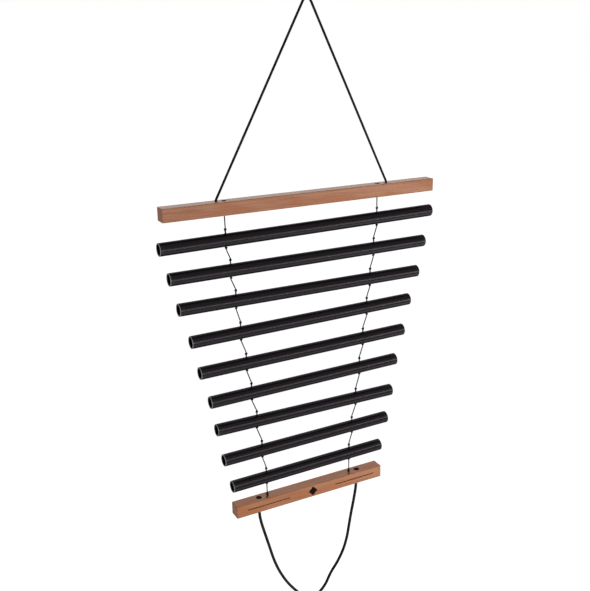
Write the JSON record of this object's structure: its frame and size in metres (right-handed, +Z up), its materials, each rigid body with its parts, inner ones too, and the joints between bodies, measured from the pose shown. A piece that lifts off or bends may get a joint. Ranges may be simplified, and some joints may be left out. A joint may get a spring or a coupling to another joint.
{
  "type": "tube chimes",
  "caption": "Hand-shaken tube chimes: graduated metal tubes on two knotted strings between two wooden bars, with a hanging cord above and a cord grip loop below.",
  "frame": {"origin": "the hook point: the underside of the hanging cord's bend, in the middle of the cord", "axes": "+Z up, +X along the bars to the right as seen from the front, +Y to the back"},
  "size_m": [0.382, 0.017, 0.8257],
  "materials": {
    "upper_wood": "oiled reddish hardwood, satin",
    "lower_wood": "oiled orange-brown hardwood, satin",
    "tube_metal": "black anodised, satin",
    "cord": "black braided polyester cord",
    "string": "black waxed twisted string"
  },
  "bodies": {
    "hanger": {"hanger_cord": "cord"},
    "upper_bar": {"upper_bar": "upper_wood", "hanger_knot_left": "cord", "hanger_knot_right": "cord", "string_top_left": "string", "string_top_right": "string"},
    "strings_1": {"string_1_left": "string", "string_1_right": "string"},
    "tube_1": {"chime_tube_1": "tube_metal"},
    "strings_2": {"string_2_left": "string", "string_2_right": "string"},
    "tube_2": {"chime_tube_2": "tube_metal"},
    "strings_3": {"string_3_left": "string", "string_3_right": "string"},
    "tube_3": {"chime_tube_3": "tube_metal"},
    "strings_4": {"string_4_left": "string", "string_4_right": "string"},
    "tube_4": {"chime_tube_4": "tube_metal"},
    "strings_5": {"string_5_left": "string", "string_5_right": "string"},
    "tube_5": {"chime_tube_5": "tube_metal"},
    "strings_6": {"string_6_left": "string", "string_6_right": "string"},
    "tube_6": {"chime_tube_6": "tube_metal"},
    "strings_7": {"string_7_left": "string", "string_7_right": "string"},
    "tube_7": {"chime_tube_7": "tube_metal"},
    "strings_8": {"string_8_left": "string", "string_8_right": "string"},
    "tube_8": {"chime_tube_8": "tube_metal"},
    "strings_9": {"string_9_left": "string", "string_9_right": "string"},
    "tube_9": {"chime_tube_9": "tube_metal"},
    "lower_bar": {"lower_bar": "lower_wood", "string_10_left": "string", "string_10_right": "string", "grip_knot_left": "cord", "grip_knot_right": "cord"},
    "grip": {"grip_cord": "cord"}
  },
  "joints": [
    {"name": "upper_bar_swing", "type": "hinge", "parent": "hanger", "child": "upper_bar", "pos_m": [-0.00619, 0, -0.2219], "axis": [1, 0, -0.0096], "range_deg": [-30, 30]},
    {"name": "strings_1_swing", "type": "hinge", "parent": "upper_bar", "child": "strings_1", "pos_m": [-0.00807, 0, -0.24078], "axis": [1, 0, -0.0096], "range_deg": [-18, 18]},
    {"name": "tube_1_lift", "type": "slide", "parent": "strings_1", "child": "tube_1", "axis": [-0.0017, 0, 1], "range_m": [0, 0.003]},
    {"name": "strings_2_swing", "type": "hinge", "parent": "strings_1", "child": "strings_2", "pos_m": [-0.00788, 0, -0.2815], "axis": [1, 0, 0.0017], "range_deg": [-18, 18]},
    {"name": "tube_2_lift", "type": "slide", "parent": "strings_2", "child": "tube_2", "axis": [0.007, 0, 1], "range_m": [0, 0.003]},
    {"name": "strings_3_swing", "type": "hinge", "parent": "strings_2", "child": "strings_3", "pos_m": [-0.00798, 0, -0.3207], "axis": [1, 0, -0.007], "range_deg": [-18, 18]},
    {"name": "tube_3_lift", "type": "slide", "parent": "strings_3", "child": "tube_3", "axis": [0.014, 0, 0.9999], "range_m": [0, 0.003]},
    {"name": "strings_4_swing", "type": "hinge", "parent": "strings_3", "child": "strings_4", "pos_m": [-0.00806, 0, -0.361], "axis": [0.9999, 0, -0.014], "range_deg": [-18, 18]},
    {"name": "tube_4_lift", "type": "slide", "parent": "strings_4", "child": "tube_4", "axis": [-0.0017, 0, 1], "range_m": [0, 0.003]},
    {"name": "strings_5_swing", "type": "hinge", "parent": "strings_4", "child": "strings_5", "pos_m": [-0.00788, 0, -0.4022], "axis": [1, 0, 0.0017], "range_deg": [-18, 18]},
    {"name": "tube_5_lift", "type": "slide", "parent": "strings_5", "child": "tube_5", "axis": [-0.0017, 0, 1], "range_m": [0, 0.003]},
    {"name": "strings_6_swing", "type": "hinge", "parent": "strings_5", "child": "strings_6", "pos_m": [-0.00788, 0, -0.445], "axis": [1, 0, 0.0017], "range_deg": [-18, 18]},
    {"name": "tube_6_lift", "type": "slide", "parent": "strings_6", "child": "tube_6", "axis": [-0.0035, 0, 1], "range_m": [0, 0.003]},
    {"name": "strings_7_swing", "type": "hinge", "parent": "strings_6", "child": "strings_7", "pos_m": [-0.00786, 0, -0.4871], "axis": [1, 0, 0.0035], "range_deg": [-18, 18]},
    {"name": "tube_7_lift", "type": "slide", "parent": "strings_7", "child": "tube_7", "axis": [0.0166, 0, 0.9999], "range_m": [0, 0.003]},
    {"name": "strings_8_swing", "type": "hinge", "parent": "strings_7", "child": "strings_8", "pos_m": [-0.00809, 0, -0.53], "axis": [0.9999, 0, -0.0166], "range_deg": [-18, 18]},
    {"name": "tube_8_lift", "type": "slide", "parent": "strings_8", "child": "tube_8", "axis": [-0.0017, 0, 1], "range_m": [0, 0.003]},
    {"name": "strings_9_swing", "type": "hinge", "parent": "strings_8", "child": "strings_9", "pos_m": [-0.00788, 0, -0.573], "axis": [1, 0, 0.0017], "range_deg": [-18, 18]},
    {"name": "tube_9_lift", "type": "slide", "parent": "strings_9", "child": "tube_9", "axis": [-0.0044, 0, 1], "range_m": [0, 0.003]},
    {"name": "lower_bar_swing", "type": "hinge", "parent": "strings_9", "child": "lower_bar", "pos_m": [-0.00785, 0, -0.6146], "axis": [1, 0, 0.0044], "range_deg": [-18, 18]},
    {"name": "grip_swing", "type": "hinge", "parent": "lower_bar", "child": "grip", "pos_m": [-0.00802, 0, -0.6513], "axis": [1, 0, -0.0061], "range_deg": [-45, 45]}
  ]
}
